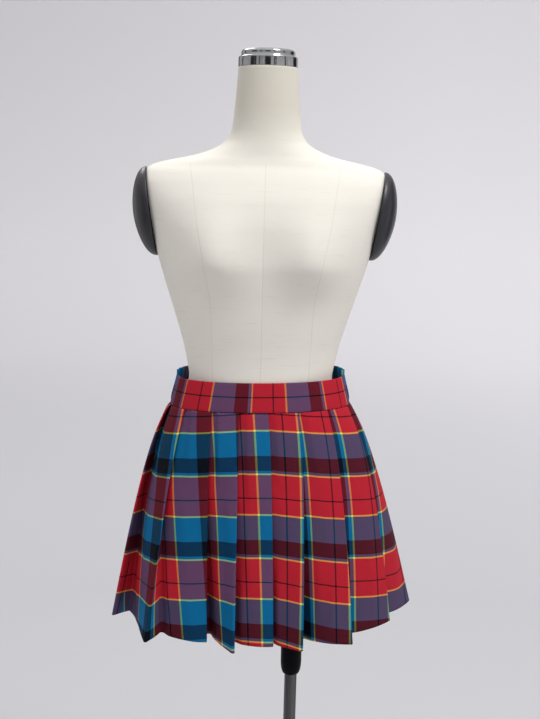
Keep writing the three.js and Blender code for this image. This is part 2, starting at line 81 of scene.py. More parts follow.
# One row for each pleat, from the left side seam across the front and round the back, in
# millimetres along the seam line and the hem line. out and tuck_out are how far the outer and inner
# folds stand off the hem line. bow rounds the panel, puff swells the fold's upper part, and drop is
# how much lower the fold's hem hangs.
PLEAT_COLUMNS = ["fold", "under", "hem_fold", "out", "hem_tuck", "tuck_out", "bow", "drop", "puff"]
PLEAT_ROWS = [
    [-124.0, 30.0, -166, 31, -154, 8, -18, 9, 0],
    [-74.5, 26.5, -83, 13, -84, -14, 6, 1, 0],
    [-31.5, 28.0, -40, 35, -52, 5, 0, 7, 0],
    [12.8, 28.0, 16, 16, -4, -3, 8, 3, 0],
    [60.0, 28.0, 58, 31, 65, 2, 0, 6, 0],
    [108.0, 26.0, 128, 30, 141, 3, 3, 4, 0],
    [158.0, 27.0, 222, 0, 250, -14, -1, -1, 2],
    [209.0, 28.0, 321, 25, 338, 3, 2, 0, 2],
    [257.0, 26.0, 393, 27, 402, -2, 3, 0, 3],
    [306.0, 26.0, 465, 32, 464, 3, -2, 4, 0],
    [354.0, 26.0, 541, 17, 548, -9, 5, 0, 2],
    [403.0, 26.0, 629, 30, 630, 2, 2, 4, 0],
    [451.0, 26.0, 703, 21, 711, -5, 5, 1, 1],
    [500.0, 26.0, 792, 33, 790, 3, 0, 5, 0],
    [548.5, 27.0, 866, 18, 875, -7, 4, 0, 4],
    [597.3, 29.0, 942, 25, 932, 0, 3, 0, 7],
]
PLEATS = [dict(zip(PLEAT_COLUMNS, row)) for row in PLEAT_ROWS]
PLEAT_COUNT = len(PLEATS)
HALF_COUNT = PLEAT_COUNT // 2

# For each pleat, the plaid's warp threads on its tuck and its fold at the seam, and then at the hem.
# The rows go across the front, after the one fold before them. Round the back the threads follow
# each other in even steps.
THREAD_ROWS = [
    [421, 584, 236, 536],
    [720, 927, 613, 855],
    [1025, 1250, 979, 1202],
    [1330, 1549, 1306, 1536],
    [1648, 1868, 1632, 1865],
    [1962, 2200, 1995, 2235],
    [2314, 2530, 2405, 2600],
    [2680, 2840, 2810, 2930],
]
FOLD_BEFORE_FIRST = (340, 140)
BACK_STEP_SEAM = 319
BACK_STEP_HEM = 318
BACK_PANEL = 240
for row in range(HALF_COUNT):
    seam_thread = THREAD_ROWS[-1][1] + BACK_STEP_SEAM
    hem_thread = THREAD_ROWS[-1][3] + BACK_STEP_HEM
    THREAD_ROWS.append([seam_thread - BACK_PANEL, seam_thread, hem_thread - BACK_PANEL, hem_thread])

# Soft ridges in the panels, and troughs where the height is below zero, placed by their warp thread:
# how far down each begins and ends, how many threads it drifts from end to end, and its half width
# in threads and its height in millimetres. One that ends past 1 runs out over the hem.
CREASE_COLUMNS = ["thread", "begin", "end", "drift", "width", "height"]
CREASE_ROWS = [
    [505, 0.0, 0.07, 4, 9, 0.5], [470, 0.3, 0.92, -60, 30, 2.2], [330, 0.55, 1.1, 10, 24, 2.0],
    [842, 0.0, 0.06, -3, 8, 0.6], [884, 0.0, 0.09, 5, 7, 0.5], [800, 0.28, 0.8, -24, 26, 1.8],
    [690, 0.5, 1.1, -30, 24, 2.5], [790, 0.7, 1.12, 8, 22, 1.4], [1130, 0.0, 0.08, -6, 9, 0.6],
    [1185, 0.0, 0.05, 3, 7, 0.4], [1120, 0.42, 1.1, -28, 26, 2.4], [1180, 0.25, 0.66, 6, 22, 1.3],
    [1458, 0.0, 0.07, 5, 8, 0.5], [1440, 0.33, 0.85, -10, 25, 1.7], [1402, 0.62, 1.1, -16, 22, 2.1],
    [1790, 0.0, 0.09, -5, 9, 0.6], [1830, 0.0, 0.05, 3, 7, 0.4], [1776, 0.22, 0.7, -8, 26, 1.5],
    [1758, 0.55, 1.12, -20, 24, 2.2], [2096, 0.0, 0.07, 4, 9, 0.5], [2148, 0.0, 0.1, -6, 8, 0.5],
    [2120, 0.26, 0.74, 14, 28, 1.7], [2150, 0.6, 1.1, -14, 26, 2.1], [2090, 0.48, 1.0, -6, 22, 1.4],
    [2452, 0.0, 0.06, 4, 8, 0.5], [2490, 0.35, 1.08, 20, 26, 2.0], [2790, 0.0, 0.08, -4, 8, 0.5],
    [2850, 0.45, 1.1, 10, 24, 1.8], [3080, 0.0, 0.07, 5, 9, 0.5], [3120, 0.4, 1.08, -14, 26, 2.0],
    [3420, 0.0, 0.06, -4, 8, 0.6], [3452, 0.24, 0.72, 12, 24, 1.5], [3745, 0.0, 0.09, 4, 8, 0.5],
    [3738, 0.52, 1.12, -18, 26, 2.2], [4068, 0.0, 0.06, -5, 9, 0.4], [4080, 0.36, 0.95, 10, 24, 1.7],
    [4390, 0.0, 0.08, 6, 8, 0.6], [4404, 0.5, 1.1, -12, 26, 2.1], [4700, 0.0, 0.07, -4, 8, 0.5],
    [4718, 0.3, 0.84, 14, 25, 1.7], [5030, 0.0, 0.06, 4, 9, 0.5], [5028, 0.56, 1.12, -16, 25, 2.2],
    [5350, 0.0, 0.08, -5, 8, 0.5], [5340, 0.34, 0.9, 10, 24, 1.8], [732, 0.3, 1.45, -186, 26, -2.4],
    [1079, 0.24, 1.5, -164, 28, -3.0], [1396, 0.2, 1.45, -72, 26, -3.4], [1726, 0.28, 1.5, -26, 26, -3.6],
    [2028, 0.22, 1.45, -44, 27, -3.2], [2376, 0.34, 1.45, 52, 24, -2.4], [2984, 0.3, 1.45, 46, 26, -2.6],
    [3643, 0.26, 1.5, 18, 28, -3.2], [4278, 0.36, 1.45, 14, 26, -2.7], [4918, 0.24, 1.5, 17, 27, -3.3],
]

# How round the folds are at the seam and at the hem, how late the pleats open downwards, and how
# finely the cloth is divided
FOLD_RADIUS_SEAM = 0.85
FOLD_RADIUS_HEM = 2.4
FOLD_STAND_SEAM = 3 * FOLD_RADIUS_SEAM
KICK_POWER = 1.5
RISE_MARGIN = 0.05
PRESSED_UNTIL = 7.6
CLOTH_ROWS = 108
FOLD_STEPS = 5
PANEL_STEPS = 22
UNDERLAY_STEPS = 7
OUTLINE_STEPS = 1440
PACE_STEP = 0.001


def mix(low, high, amount):
    """The value that lies an amount of 0 to 1 of the way from low to high."""
    return low + (high - low) * amount


def arch(height, part):
    """A parabola that is 0 at both ends of the part and reaches the height in its middle."""
    return 4 * height * part * (1 - part)


def smooth_step(low, high, value):
    """Rises from 0 at low to 1 at high, level at both ends."""
    t = np.clip((value - low) / (high - low), 0, 1)
    return t * t * (3 - 2 * t)


def smooth_table(places, values, at):
    """A curve through a table's values: cubic pieces whose slopes never overshoot the table."""
    places = np.asarray(places, float)
    values = np.asarray(values, float)
    step = np.diff(places)
    slope = np.diff(values) / step
    tangent = np.empty(len(places))
    tangent[0] = slope[0]
    tangent[-1] = slope[-1]
    before = slope[:-1]
    after = slope[1:]
    both = np.where(before + after == 0, 1, before + after)
    tangent[1:-1] = np.where(before * after <= 0, 0, 2 * before * after / both)
    at = np.clip(at, places[0], places[-1])
    i = np.clip(np.searchsorted(places, at, "right") - 1, 0, len(places) - 2)
    t = (at - places[i]) / step[i]
    rise = values[i + 1] - values[i]
    start = tangent[i] * step[i]
    end = tangent[i + 1] * step[i]
    return values[i] + start * t + (3 * rise - 2 * start - end) * t**2 + (start + end - 2 * rise) * t**3


def outline(line, bearing, outward=0.0):
    """Plan points of a rounded outline, moved outwards along its normal. The radius at a bearing
    is (|cos/depth|^p + |sin/width|^p)^(-1/p), with its own depth and power at front and back."""
    s = np.sin(bearing)
    c = np.cos(bearing)
    depth = np.where(c > 0, line["front"], line["back"])
    power = np.where(c > 0, line["front_power"], line["back_power"])
    radius = (np.abs(c / depth) ** power + np.abs(s / line["width"]) ** power) ** (-1 / power)
    nx = np.sign(s) * np.abs(radius * s / line["width"]) ** (power - 1) / line["width"]
    ny = -np.sign(c) * np.abs(radius * c / depth) ** (power - 1) / depth
    size = np.hypot(nx, ny)
    return radius * s + line["shift"] + outward * nx / size, -radius * c + outward * ny / size


def run_along(x, y):
    """How far along their row the points lie, from its first point on."""
    steps = np.hypot(np.diff(x), np.diff(y))
    return np.concatenate([np.zeros_like(x[..., :1]), np.cumsum(steps, axis=-1)], axis=-1)


def measured_outline(line):
    """The girth of an outline, and a function that turns a length along it, from the middle of
    the front, into a bearing."""
    bearings = np.linspace(0, 2 * np.pi, OUTLINE_STEPS + 1)
    lengths = run_along(*outline(line, bearings))
    girth = lengths[-1]

    def bearing_at(length):
        turns = math.floor(length / girth)
        return turns * 2 * math.pi + float(np.interp(length - turns * girth, lengths, bearings))

    return girth, bearing_at


SEAM_GIRTH, seam_bearing = measured_outline(SEAM_LINE)
hem_bearing = measured_outline(HEM_LINE)[1]
DOWN = np.linspace(0, 1, CLOTH_ROWS)[:, None]
SPREAD = smooth_table(FLARE_DOWN, FLARE_SPREAD, DOWN)
CLOTH_LINE = {key: mix(SEAM_LINE[key], HEM_LINE[key], SPREAD) for key in SEAM_LINE}
KICK = DOWN**KICK_POWER
FOLD_RADIUS = mix(FOLD_RADIUS_SEAM, FOLD_RADIUS_HEM, DOWN)


def outline_pace(bearing, outward):
    """Millimetres run along the outline for each radian of bearing."""
    ax, ay = outline(CLOTH_LINE, bearing - PACE_STEP, outward)
    bx, by = outline(CLOTH_LINE, bearing + PACE_STEP, outward)
    return np.hypot(bx - ax, by - ay) / (2 * PACE_STEP)


TUCK, FOLD = 0, 1


def thread_line(row, place):
    """Which warp thread lies on a pleat's tuck or fold, from its seam place to its hem place."""
    return mix(THREAD_ROWS[row][place], THREAD_ROWS[row][place + 2], DOWN)


def pleat_folds(index):
    """Places of a pleat's outer and inner folds at every level: the bearings run from their seam
    places to their hem places with the flare, and they leave the outline with the kick."""
    turns, row = divmod(index, PLEAT_COUNT)
    pleat = PLEATS[row]
    turn = turns * 2 * math.pi
    fold_seam = seam_bearing(pleat["fold"])
    tuck_seam = seam_bearing(pleat["fold"] - pleat["under"])
    puff = arch(pleat["puff"], np.sqrt(DOWN))
    return dict(
        pleat=pleat,
        row=row,
        fold_bearing=mix(fold_seam, hem_bearing(pleat["hem_fold"]), SPREAD) + turn,
        tuck_bearing=mix(tuck_seam, hem_bearing(pleat["hem_tuck"]), SPREAD) + turn,
        fold_out=mix(FOLD_STAND_SEAM, pleat["out"], KICK) + puff,
        tuck_out=mix(FOLD_RADIUS_SEAM, pleat["tuck_out"], KICK),
        drop=pleat["drop"] * KICK,
        bow=pleat["bow"] * KICK,
    )


def underlay_path(folds):
    """The straight run of cloth from an outer fold back to its inner fold, tangent to both."""
    pace = outline_pace((folds["fold_bearing"] + folds["tuck_bearing"]) / 2, folds["fold_out"])
    along = (folds["tuck_bearing"] - folds["fold_bearing"]) * pace
    across = folds["tuck_out"] - folds["fold_out"]
    lean = np.arcsin(np.clip(2 * FOLD_RADIUS / np.hypot(along, across), 0, 1))
    heading = np.arctan2(across, along) - lean
    side = FOLD_RADIUS * np.cos(heading + np.pi / 2)
    rise = FOLD_RADIUS * np.sin(heading + np.pi / 2)
    start = (folds["fold_bearing"] + side / pace, folds["fold_out"] + rise)
    end = (folds["tuck_bearing"] - side / pace, folds["tuck_out"] - rise)
    return heading, start, end


def cloth_half(first):
    """The middle surface of half the skirt. Each pleat is a tuck arc, a panel that rises over the
    underlay below it, a fold arc and an underlay, one after the other along the girth."""
    blocks = []
    anchors = []
    threads = []

    def add(bearing, outward, drop):
        shape = np.broadcast_shapes(np.shape(bearing), np.shape(outward), DOWN.shape)
        blocks.append([np.broadcast_to(part, shape) for part in (bearing, outward, drop)])
        return sum(block[0].shape[1] for block in blocks)

    def add_arc(bearing, outward, start, end, drop):
        angle = mix(start, end, np.linspace(0, 1, FOLD_STEPS + 1))
        turned = bearing + FOLD_RADIUS * np.cos(angle) / outline_pace(bearing, outward)
        columns = add(turned, outward + FOLD_RADIUS * np.sin(angle), drop)
        anchors.append(columns - 1 - FOLD_STEPS // 2)

    def add_underlay(folds, start, end):
        begin, finish = underlay_path(folds)[1:]
        part = np.linspace(start, end, UNDERLAY_STEPS + 2)
        part = part[int(start == 0):len(part) - int(end == 1)]
        add(mix(begin[0], finish[0], part), mix(begin[1], finish[1], part), folds["drop"] * (1 - part))

    cut = SEAM_GAP / 2 / PLEATS[first]["under"]
    add_underlay(pleat_folds(first - 1), 0.5 + cut, 1)
    anchors.append(0)
    fold_before = mix(*FOLD_BEFORE_FIRST, DOWN) if first == 0 else thread_line(first - 1, FOLD)
    threads.append((fold_before + thread_line(first, TUCK)) / 2)
    end = first + HALF_COUNT
    for index in range(first, end):
        last = pleat_folds(index - 1)
        folds = pleat_folds(index)
        pleat = folds["pleat"]
        pace = outline_pace((last["tuck_bearing"] + folds["fold_bearing"]) / 2, folds["tuck_out"])
        length = (folds["fold_bearing"] - last["tuck_bearing"]) * pace
        climb = folds["fold_out"] - last["tuck_out"] + 2 * FOLD_RADIUS
        stand = folds["fold_out"] - folds["tuck_out"]
        pressed = 1 - smooth_step(FOLD_STAND_SEAM, PRESSED_UNTIL, stand)
        bend = 4 * folds["bow"]
        start_slope = np.arctan2(climb * (1 - pressed) + bend, length)
        end_slope = np.arctan2(climb * (1 - pressed) - bend, length)
        arriving = underlay_path(last)[0]
        leaving = underlay_path(folds)[0]
        add_arc(
            last["tuck_bearing"], last["tuck_out"],
            arriving - np.pi / 2, start_slope - np.pi / 2, 0 * DOWN)
        threads.append(thread_line(folds["row"], TUCK))
        from_bearing = last["tuck_bearing"] + FOLD_RADIUS * np.sin(start_slope) / pace
        from_out = last["tuck_out"] - FOLD_RADIUS * np.cos(start_slope)
        to_bearing = folds["fold_bearing"] - FOLD_RADIUS * np.sin(end_slope) / pace
        to_out = folds["fold_out"] + FOLD_RADIUS * np.cos(end_slope)
        whole = (pleat["fold"] - last["pleat"]["fold"] + last["pleat"]["under"]) % SEAM_GIRTH
        low = last["pleat"]["under"] / whole + RISE_MARGIN
        high = 1 - pleat["under"] / whole - RISE_MARGIN
        part = np.linspace(0, 1, PANEL_STEPS + 2)[1:-1]
        climbed = mix(part, smooth_step(low, high, part), pressed)
        outward = mix(from_out, to_out, climbed) + arch(folds["bow"], part)
        add(mix(from_bearing, to_bearing, part), outward, folds["drop"] * part)
        add_arc(
            folds["fold_bearing"], folds["fold_out"],
            end_slope + np.pi / 2, leaving + np.pi / 2, folds["drop"])
        threads.append(thread_line(folds["row"], FOLD))
        add_underlay(folds, 0, 0.5 - cut if index == end - 1 else 1)
    bearing, outward, drop = [np.concatenate(parts, axis=1) for parts in zip(*blocks)]
    x, y = outline(CLOTH_LINE, bearing, outward)
    lift = SIDE_LIFT * KICK * np.sin(bearing) ** 2
    z = WAIST - BAND_HEIGHT - SEAM_GAP - DOWN * CLOTH_LENGTH - drop + lift + HANG_SLOPE * x
    hidden = mix(BACK_STEP_SEAM, BACK_STEP_HEM, DOWN) - BACK_PANEL
    threads.append(threads[-1] + hidden / 2)
    anchors.append(bearing.shape[1] - 1)
    run = run_along(x, y)
    warp = np.empty_like(x)
    for i in range(len(anchors) - 1):
        a, b = anchors[i], anchors[i + 1]
        part = (run[:, a:b + 1] - run[:, a:a + 1]) / (run[:, b:b + 1] - run[:, a:a + 1])
        warp[:, a:b + 1] = mix(threads[i], threads[i + 1], part)
    return x, y, z, warp, bearing


# The plaid's repeat is counted in its own small units, and each unit is 0.309 mm of cloth
WARP_REPEAT = 370.0
WEFT_REPEAT = 417.0
SETT_UNIT = 0.309
WEFT_AT_SEAM = 338.0
WEFT_LENGTH = 1155.0
SIDE_WEFT_RISE = (42.0, 48.0)
EDGE_WEFT_RISE = (8.0, 35.0)


def row_normal(x, y):
    """The outward direction in plan, square to each row: its run turned by a quarter."""
    tx = np.gradient(x, axis=1)
    ty = np.gradient(y, axis=1)
    size = np.hypot(tx, ty)
    return ty / size, -tx / size


def creased(x, y, warp):
    """Moves the cloth along its rows' outward normals by the sum of the ridges and troughs. Each is
    a bell across the threads and a rounded window down the cloth."""
    height = np.zeros_like(x)
    for row in CREASE_ROWS:
        crease = dict(zip(CREASE_COLUMNS, row))
        part = (DOWN - crease["begin"]) / (crease["end"] - crease["begin"])
        window = np.where((part > 0) & (part < 1), np.sin(np.pi * np.clip(part, 0, 1)) ** 2, 0)
        beside = (warp - crease["thread"] - crease["drift"] * part) / crease["width"]
        height += crease["height"] * window * np.exp(-beside**2)
    nx, ny = row_normal(x, y)
    return x + nx * height, y + ny * height


def shell_mesh(name, x, y, z, warp, weft, wall):
    """A closed thin wall on a grid of middle points: every point moves half the wall outwards and
    half inwards, square to its row in plan, and the four rims are closed. Millimetres go in."""
    rows, columns = x.shape
    nx, ny = row_normal(x, y)
    outer = np.stack([x + nx * wall / 2, y + ny * wall / 2, z], axis=-1)
    inner = np.stack([x - nx * wall / 2, y - ny * wall / 2, z], axis=-1)
    points = np.concatenate([outer.reshape(-1, 3), inner.reshape(-1, 3)]) * MM
    number = np.arange(rows * columns).reshape(rows, columns)
    other = number + rows * columns

    def quads(a, b, c, d):
        return np.stack([a.ravel(), b.ravel(), c.ravel(), d.ravel()], axis=1)

    faces = np.concatenate([
        quads(number[:-1, :-1], number[1:, :-1], number[1:, 1:], number[:-1, 1:]),
        quads(other[:-1, :-1], other[:-1, 1:], other[1:, 1:], other[1:, :-1]),
        quads(number[0, :-1], number[0, 1:], other[0, 1:], other[0, :-1]),
        quads(number[-1, :-1], other[-1, :-1], other[-1, 1:], number[-1, 1:]),
        quads(number[:-1, 0], other[:-1, 0], other[1:, 0], number[1:, 0]),
        quads(number[:-1, -1], number[1:, -1], other[1:, -1], other[:-1, -1]),
    ])
    uv = np.stack([warp / WARP_REPEAT, weft / WEFT_REPEAT], axis=-1).reshape(-1, 2)
    return grid_object(name, points, faces, np.concatenate([uv, uv]))


def grid_object(name, points, faces, uv=None):
    """An object at the origin from arrays of points and quads, smooth, with its map set by point."""
    mesh = bpy.data.meshes.new(name)
    mesh.vertices.add(len(points))
    mesh.vertices.foreach_set("co", np.ascontiguousarray(points, np.float32).ravel())
    mesh.loops.add(faces.size)
    mesh.loops.foreach_set("vertex_index", faces.ravel().astype(np.int32))
    mesh.polygons.add(len(faces))
    mesh.polygons.foreach_set("loop_start", np.arange(0, faces.size, faces.shape[1], dtype=np.int32))
    if uv is not None:
        layer = mesh.uv_layers.new(name="cloth")
        layer.data.foreach_set("uv", uv[faces.ravel()].astype(np.float32).ravel())
    mesh.update(calc_edges=True)
    mesh.validate()
    mesh.shade_smooth()
    piece = bpy.data.objects.new(name, mesh)
    bpy.context.collection.objects.link(piece)
    return piece


def weft_line(bearing, down):
    """Which weft thread crosses here: the top edge is cut higher at the sides than in the middle."""
    side = np.sin(bearing) ** 2
    rise = side * (SIDE_WEFT_RISE[0] + SIDE_WEFT_RISE[1] * down)
    rise += side**6 * (EDGE_WEFT_RISE[0] + EDGE_WEFT_RISE[1] * down)
    return WEFT_AT_SEAM + WEFT_LENGTH * down - rise


def linear(red, green, blue):
    """An sRGB colour of 0 to 255 as linear values."""
    values = np.array([red, green, blue]) / 255
    return (*np.where(values <= 0.04045, values / 12.92, ((values + 0.055) / 1.055) ** 2.4), 1.0)


def node_group(name, inputs, outputs):
    """An empty shader group with its sockets, and its input and output nodes."""
    group = bpy.data.node_groups.new(name, "ShaderNodeTree")
    for label, kind in inputs:
        group.interface.new_socket(label, in_out="INPUT", socket_type="NodeSocket" + kind)
    for label, kind in outputs:
        group.interface.new_socket(label, in_out="OUTPUT", socket_type="NodeSocket" + kind)
    return group, group.nodes.new("NodeGroupInput"), group.nodes.new("NodeGroupOutput")


def fill(tree, made, inputs):
    """Sets a node's inputs, by number or name, to values, or links sockets to them."""
    for label, value in inputs.items():
        label = label.replace("_", " ")
        socket = made.inputs[int(label) if label.isdigit() else label]
        if isinstance(value, bpy.types.NodeSocket):
            tree.links.new(value, socket)
        else:
            socket.default_value = value


def node(tree, kind, **settings):
    """Adds a shader node. A setting named in_0 or in_Scale fills an input. The others come first,
    because they decide which inputs there are."""
    made = tree.nodes.new("ShaderNode" + kind)
    for key, value in settings.items():
        if not key.startswith("in_"):
            setattr(made, key, value)
    fill(tree, made, {key[3:]: value for key, value in settings.items() if key.startswith("in_")})
    return made


def maths(tree, operation, first, second=0.0, third=0.0):
    """What one sum in a shader gives."""
    made = node(tree, "Math", operation=operation, in_0=first, in_1=second, in_2=third)
    return made.outputs[0]


def ranged(tree, value, low, high, to_low=0.0, to_high=1.0, **settings):
    """A value's place between low and high, carried over to between to_low and to_high."""
    made = node(
        tree, "MapRange", in_0=value, in_1=low, in_2=high, in_3=to_low, in_4=to_high, **settings)
    return made.outputs[0]


def blended(tree, share, first, second, **settings):
    """The first colour, passing into the second as the share goes from 0 to 1."""
    made = node(tree, "Mix", data_type="RGBA", in_0=share, in_6=first, in_7=second, **settings)
    return made.outputs[2]


def noise(tree, place, scale, detail):
    """Uneven spots on a map. A scale of three numbers draws them out along an axis."""
    if isinstance(scale, tuple):
        place = node(tree, "Mapping", in_Vector=place, in_Scale=scale).outputs[0]
        scale = 1.0
    made = node(tree, "TexNoise", in_Vector=place, in_Scale=scale, in_Detail=detail)
    return made.outputs[0]


def raised(tree, height, strength, distance, **settings):
    """A surface normal bent by a height: the distance in metres is how high 1 stands."""
    made = node(
        tree, "Bump", in_Strength=strength, in_Distance=distance, in_Height=height, **settings)
    return made.outputs[0]


def new_material(name):
    """A new material, its node tree and its shader."""
    material = bpy.data.materials.new(name)
    material.use_nodes = True
    return material, material.node_tree, material.node_tree.nodes["Principled BSDF"]


def object_place(tree):
    """The place on the object, in metres."""
    return node(tree, "TexCoord").outputs["Object"]


# Thread colours of the plaid
RED = linear(178, 31, 46)
WARP_BLUE = linear(4, 108, 163)
WEFT_BLUE = linear(3, 94, 135)
DARK = linear(2, 7, 20)
PALE_YELLOW = linear(240, 226, 88)
BLACK = linear(4, 4, 10)
WARP_STRIPES = [
    (0, PALE_YELLOW), (7, WARP_BLUE), (122, DARK), (187, WARP_BLUE), (201, PALE_YELLOW), (209, RED),
    (306, BLACK), (313, RED), (368, PALE_YELLOW),
]
WEFT_STRIPES = [
    (0, PALE_YELLOW), (8, WEFT_BLUE), (128, DARK), (201, WEFT_BLUE), (215, PALE_YELLOW), (223, RED),
    (335, BLACK), (342, RED),
]

plaid_group, plaid_in, plaid_out = node_group(
    "plaid_stripes", [("Cloth map", "Vector")], [("Warp colour", "Color"), ("Weft colour", "Color")])
cloth_axes = node(plaid_group, "SeparateXYZ", in_0=plaid_in.outputs[0])
for axis, stripes, repeat in ((0, WARP_STRIPES, WARP_REPEAT), (1, WEFT_STRIPES, WEFT_REPEAT)):
    place = maths(plaid_group, "FRACT", cloth_axes.outputs[axis])
    ramp = node(plaid_group, "ValToRGB", in_Fac=place)
    ramp.color_ramp.interpolation = "CONSTANT"
    while len(ramp.color_ramp.elements) < len(stripes):
        ramp.color_ramp.elements.new(0.5)
    for element, (start, colour) in zip(ramp.color_ramp.elements, stripes):
        element.position = start / repeat
        element.color = colour
    plaid_group.links.new(ramp.outputs["Color"], plaid_out.inputs[axis])

# Plain weave: each thread is a rounded ridge that dips under every second crossing thread
weave_group, weave_in, weave_out = node_group(
    "thread_weave", [("Threads", "Vector")], [("Warp on top", "Float"), ("Height", "Float")])
thread_axes = node(weave_group, "SeparateXYZ", in_0=weave_in.outputs[0])
across, along = thread_axes.outputs[0], thread_axes.outputs[1]
ridges = []
for this, other, phase in ((across, along, 0.0), (along, across, math.pi)):
    half_turn = maths(weave_group, "MULTIPLY", this, math.pi)
    crown = maths(weave_group, "ABSOLUTE", maths(weave_group, "SINE", half_turn))
    crossing = maths(weave_group, "ADD", other, maths(weave_group, "FLOOR", this))
    turn = maths(weave_group, "MULTIPLY_ADD", crossing, math.pi, phase - math.pi / 2)
    wave = maths(weave_group, "MULTIPLY_ADD", maths(weave_group, "COSINE", turn), 0.5, 0.5)
    ridges.append(maths(weave_group, "MULTIPLY", crown, wave))
on_top = ranged(weave_group, maths(weave_group, "SUBTRACT", ridges[0], ridges[1]), -0.25, 0.25)
highest = maths(weave_group, "MAXIMUM", ridges[0], ridges[1])
fill(weave_group, weave_out, dict(Warp_on_top=on_top, Height=highest))

# Threads in one repeat, the least and the added share of the warp's colour where it lies on top,
# and how far the crossing colours shine through each other
THREADS_PER_REPEAT = (228, 228 * WEFT_REPEAT / WARP_REPEAT, 1)
WARP_LEAST = 0.13
WARP_ADDED = 0.5
SHINE_THROUGH = 0.62
DYE_STREAKS = (120, 6, 1)


def plaid_material(name):
    """Woven plaid cotton: warp and weft colours cross thread by thread, with uneven dye and lint."""
    material, tree, shader = new_material(name)
    cloth_map = node(tree, "UVMap", uv_map="cloth").outputs[0]
    stripes = node(tree, "Group", node_tree=plaid_group, in_0=cloth_map)
    warp_colour, weft_colour = stripes.outputs[0], stripes.outputs[1]
    threads = node(tree, "Mapping", in_Vector=cloth_map, in_Scale=THREADS_PER_REPEAT)
    weave = node(tree, "Group", node_tree=weave_group, in_0=threads.outputs[0])
    warp_share = maths(tree, "MULTIPLY_ADD", weave.outputs[0], WARP_ADDED, WARP_LEAST)
    beside = blended(tree, warp_share, weft_colour, warp_colour)
    through = blended(tree, 1.0, weft_colour, warp_colour, blend_type="MULTIPLY")
    through = node(tree, "Gamma", in_0=through, in_1=0.5).outputs[0]
    woven = blended(tree, SHINE_THROUGH, beside, through)
    lint = noise(tree, cloth_map, 46.0, 5.0)
    streak = noise(tree, cloth_map, DYE_STREAKS, 3.0)
    worn = maths(tree, "MULTIPLY_ADD", streak, 0.1, maths(tree, "MULTIPLY_ADD", lint, 0.16, 0.87))
    dyed = node(tree, "VectorMath", operation="SCALE", in_0=woven, in_3=worn).outputs[0]
    rumple = raised(tree, noise(tree, object_place(tree), 34.0, 3.0), 0.5, 0.0022)
    relief = maths(tree, "MULTIPLY_ADD", lint, 0.6, weave.outputs[1])
    normal = raised(tree, relief, 0.35, 0.00025, in_Normal=rumple)
    fill(tree, shader, dict(
        Base_Color=dyed, Roughness=0.82, Specular_IOR_Level=0.12, Normal=normal))
    return material


plaid_cloth = plaid_material("plaid_cloth")
SKIRT_HALVES = [("skirt_front", 0, (0.92, 0.352)), ("skirt_back", HALF_COUNT, (0.95, 0.352))]
for name, first, flat in SKIRT_HALVES:
    x, y, z, warp, bearing = cloth_half(first)
    x, y = creased(x, y, warp)
    weft = weft_line(bearing, DOWN)
    cloth = shell_mesh(name + "_cloth", x, y, z, warp, weft, CLOTH_WALL)
    cloth.data.materials.append(plaid_cloth)
    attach(cloth, "root")
    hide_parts(name)

# Waistband
# A folded band of the same plaid with stiffening inside, flat across the front. The back half
# holds elastic, so it is drawn into small upright gathers and stands a little higher.
BAND_WALL = 3.4
SEAT_GAP = 0.4
BACK_BAND_RISE = 8.0
GATHER_COUNT = 26
GATHER_DEPTH = 2.6
GATHER_UNEVENNESS = 0.2
GATHER_FADE = 0.25
BAND_LOW = dict(half=143.5, front=94.0, back=100.0)
BAND_HIGH = dict(half=132.0, front=85.5, back=92.0)
BAND_ROUND = 1.4
BAND_CORNER_STEPS = 4
BAND_RISE_STEPS = 9
FRONT_BAND_COLUMNS = 160
BACK_BAND_COLUMNS = 420
BAND_THREAD_AT_MIDDLE = 243.0
BAND_SETT_UNIT = 0.3225
FRONT_BAND_WEFT_AT_WAIST = 270.0
BACK_BAND_WEFT_AT_WAIST = 74.0


def band_outline(z):
    """The band's inner line: it lies on the form at the front and back and stands off at the sides.
    Its outer half width and the form's depths run from their low to their high values."""
    up = np.minimum((z - (WAIST - BAND_HEIGHT)) / BAND_HEIGHT, 1)
    half, front, back = [mix(BAND_LOW[key], BAND_HIGH[key], up) for key in BAND_LOW]
    return dict(
        width=half - BAND_WALL,
        front=front + SEAT_GAP,
        back=back + SEAT_GAP,
        front_power=SEAM_LINE["front_power"],
        back_power=SEAM_LINE["back_power"],
        shift=0.0,
    )


def quarter_turn(steps):
    """Angles of a quarter circle, for rounded corners and ends."""
    return np.linspace(0, np.pi / 2, steps)


def band_profile(height):
    """Once round the band's cut section, as distance outwards and height: a tall rectangle whose
    corners are rounded, starting at the bottom of its inner face."""
    r = BAND_ROUND
    toward = r * np.cos(quarter_turn(BAND_CORNER_STEPS))
    onward = r * np.sin(quarter_turn(BAND_CORNER_STEPS))
    rise = np.linspace(r, height - r, BAND_RISE_STEPS)
    inner_face = [np.zeros(BAND_RISE_STEPS), rise]
    inner_top = [(r - toward)[1:], (height - r + onward)[1:]]
    outer_top = [BAND_WALL - r + onward, height - r + toward]
    outer_face = [np.full(BAND_RISE_STEPS - 2, BAND_WALL), rise[::-1][1:-1]]
    outer_bottom = [BAND_WALL - r + toward, r - onward]
    inner_bottom = [(r - onward)[:-1], (r - toward)[:-1]]
    parts = [inner_face, inner_top, outer_top, outer_face, outer_bottom, inner_bottom]
    return [np.concatenate(values) for values in zip(*parts)]


def ring_faces(rows, columns):
    """Quads between the rows of a grid of points whose columns close on themselves."""
    number = np.arange(rows * columns).reshape(rows, columns)
    onward = np.roll(number, -1, axis=1)
    return np.stack([number[:-1], onward[:-1], onward[1:], number[1:]], axis=-1).reshape(-1, 4)


